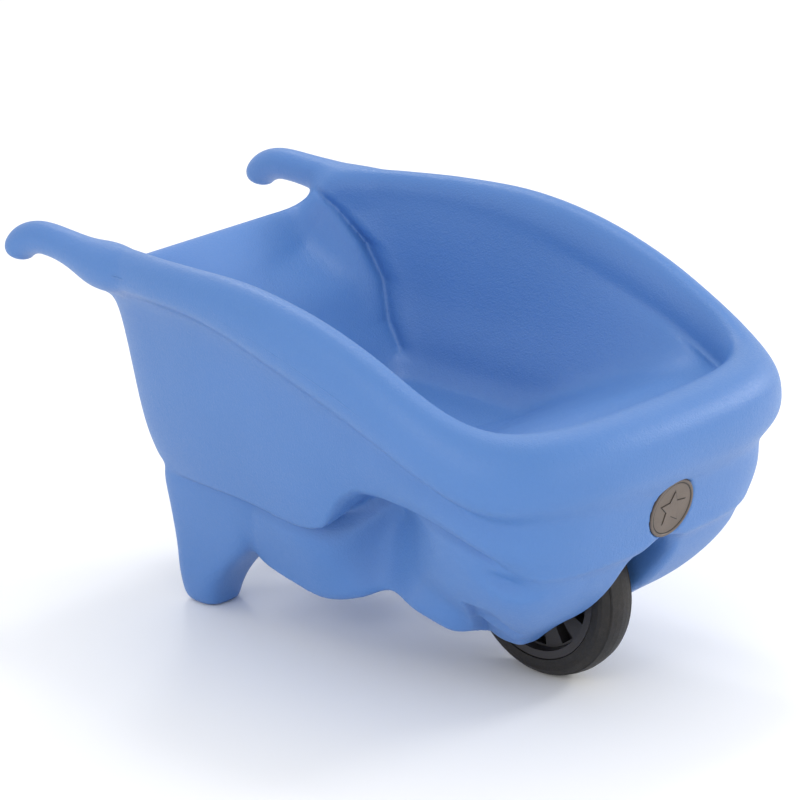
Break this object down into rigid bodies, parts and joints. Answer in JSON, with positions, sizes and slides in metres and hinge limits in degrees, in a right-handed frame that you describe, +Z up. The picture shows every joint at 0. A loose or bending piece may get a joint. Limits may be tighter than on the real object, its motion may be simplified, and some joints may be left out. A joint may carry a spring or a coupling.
{
  "type": "toy wheelbarrow",
  "caption": "Child's wheelbarrow: one-piece hollow plastic tub with hook handles and rear legs on a single front wheel.",
  "frame": {"origin": "on the ground under the middle of the bounding box", "axes": "+X towards the wheel (direction of travel), +Y left, +Z up"},
  "size_m": [0.8027, 0.5099, 0.4323],
  "materials": {
    "body_plastic": "satin rotomoulded polyethylene with a fine pebble grain",
    "badge_plastic": "matt taupe-grey",
    "plug_plastic": "matt blue",
    "tyre": "matt solid rubber",
    "hub_plastic": "dark grey polypropylene",
    "cap_plastic": "black nylon",
    "cage_plastic": "natural nylon",
    "roller_steel": "ground",
    "sleeve_steel": "drawn tube",
    "axle_steel": "zinc plated",
    "spacer_plastic": "black nylon",
    "plate_steel": "zinc plated sheet",
    "screw_steel": "stainless",
    "insert_brass": "turned"
  },
  "bodies": {
    "barrow": {"tub_moulding": "body_plastic", "badge_disc": "badge_plastic", "vent_plug": "plug_plastic", "bearing_sleeve": "sleeve_steel", "axle_pin": "axle_steel", "spacer_left": "spacer_plastic", "spacer_right": "spacer_plastic", "axle_plate_left": "plate_steel", "axle_plate_right": "plate_steel", "plate_screws": "screw_steel", "threaded_inserts": "insert_brass"},
    "wheel": {"tyre": "tyre", "wheel_hub": "hub_plastic", "hub_cap_left": "cap_plastic", "hub_cap_right": "cap_plastic", "roller_cage": "cage_plastic", "bearing_rollers": "roller_steel"}
  },
  "joints": [
    {"name": "wheel_spin", "type": "hinge", "parent": "barrow", "child": "wheel", "pos_m": [0.215, 0, 0.1], "axis": [0, 1, 0], "continuous": true}
  ]
}
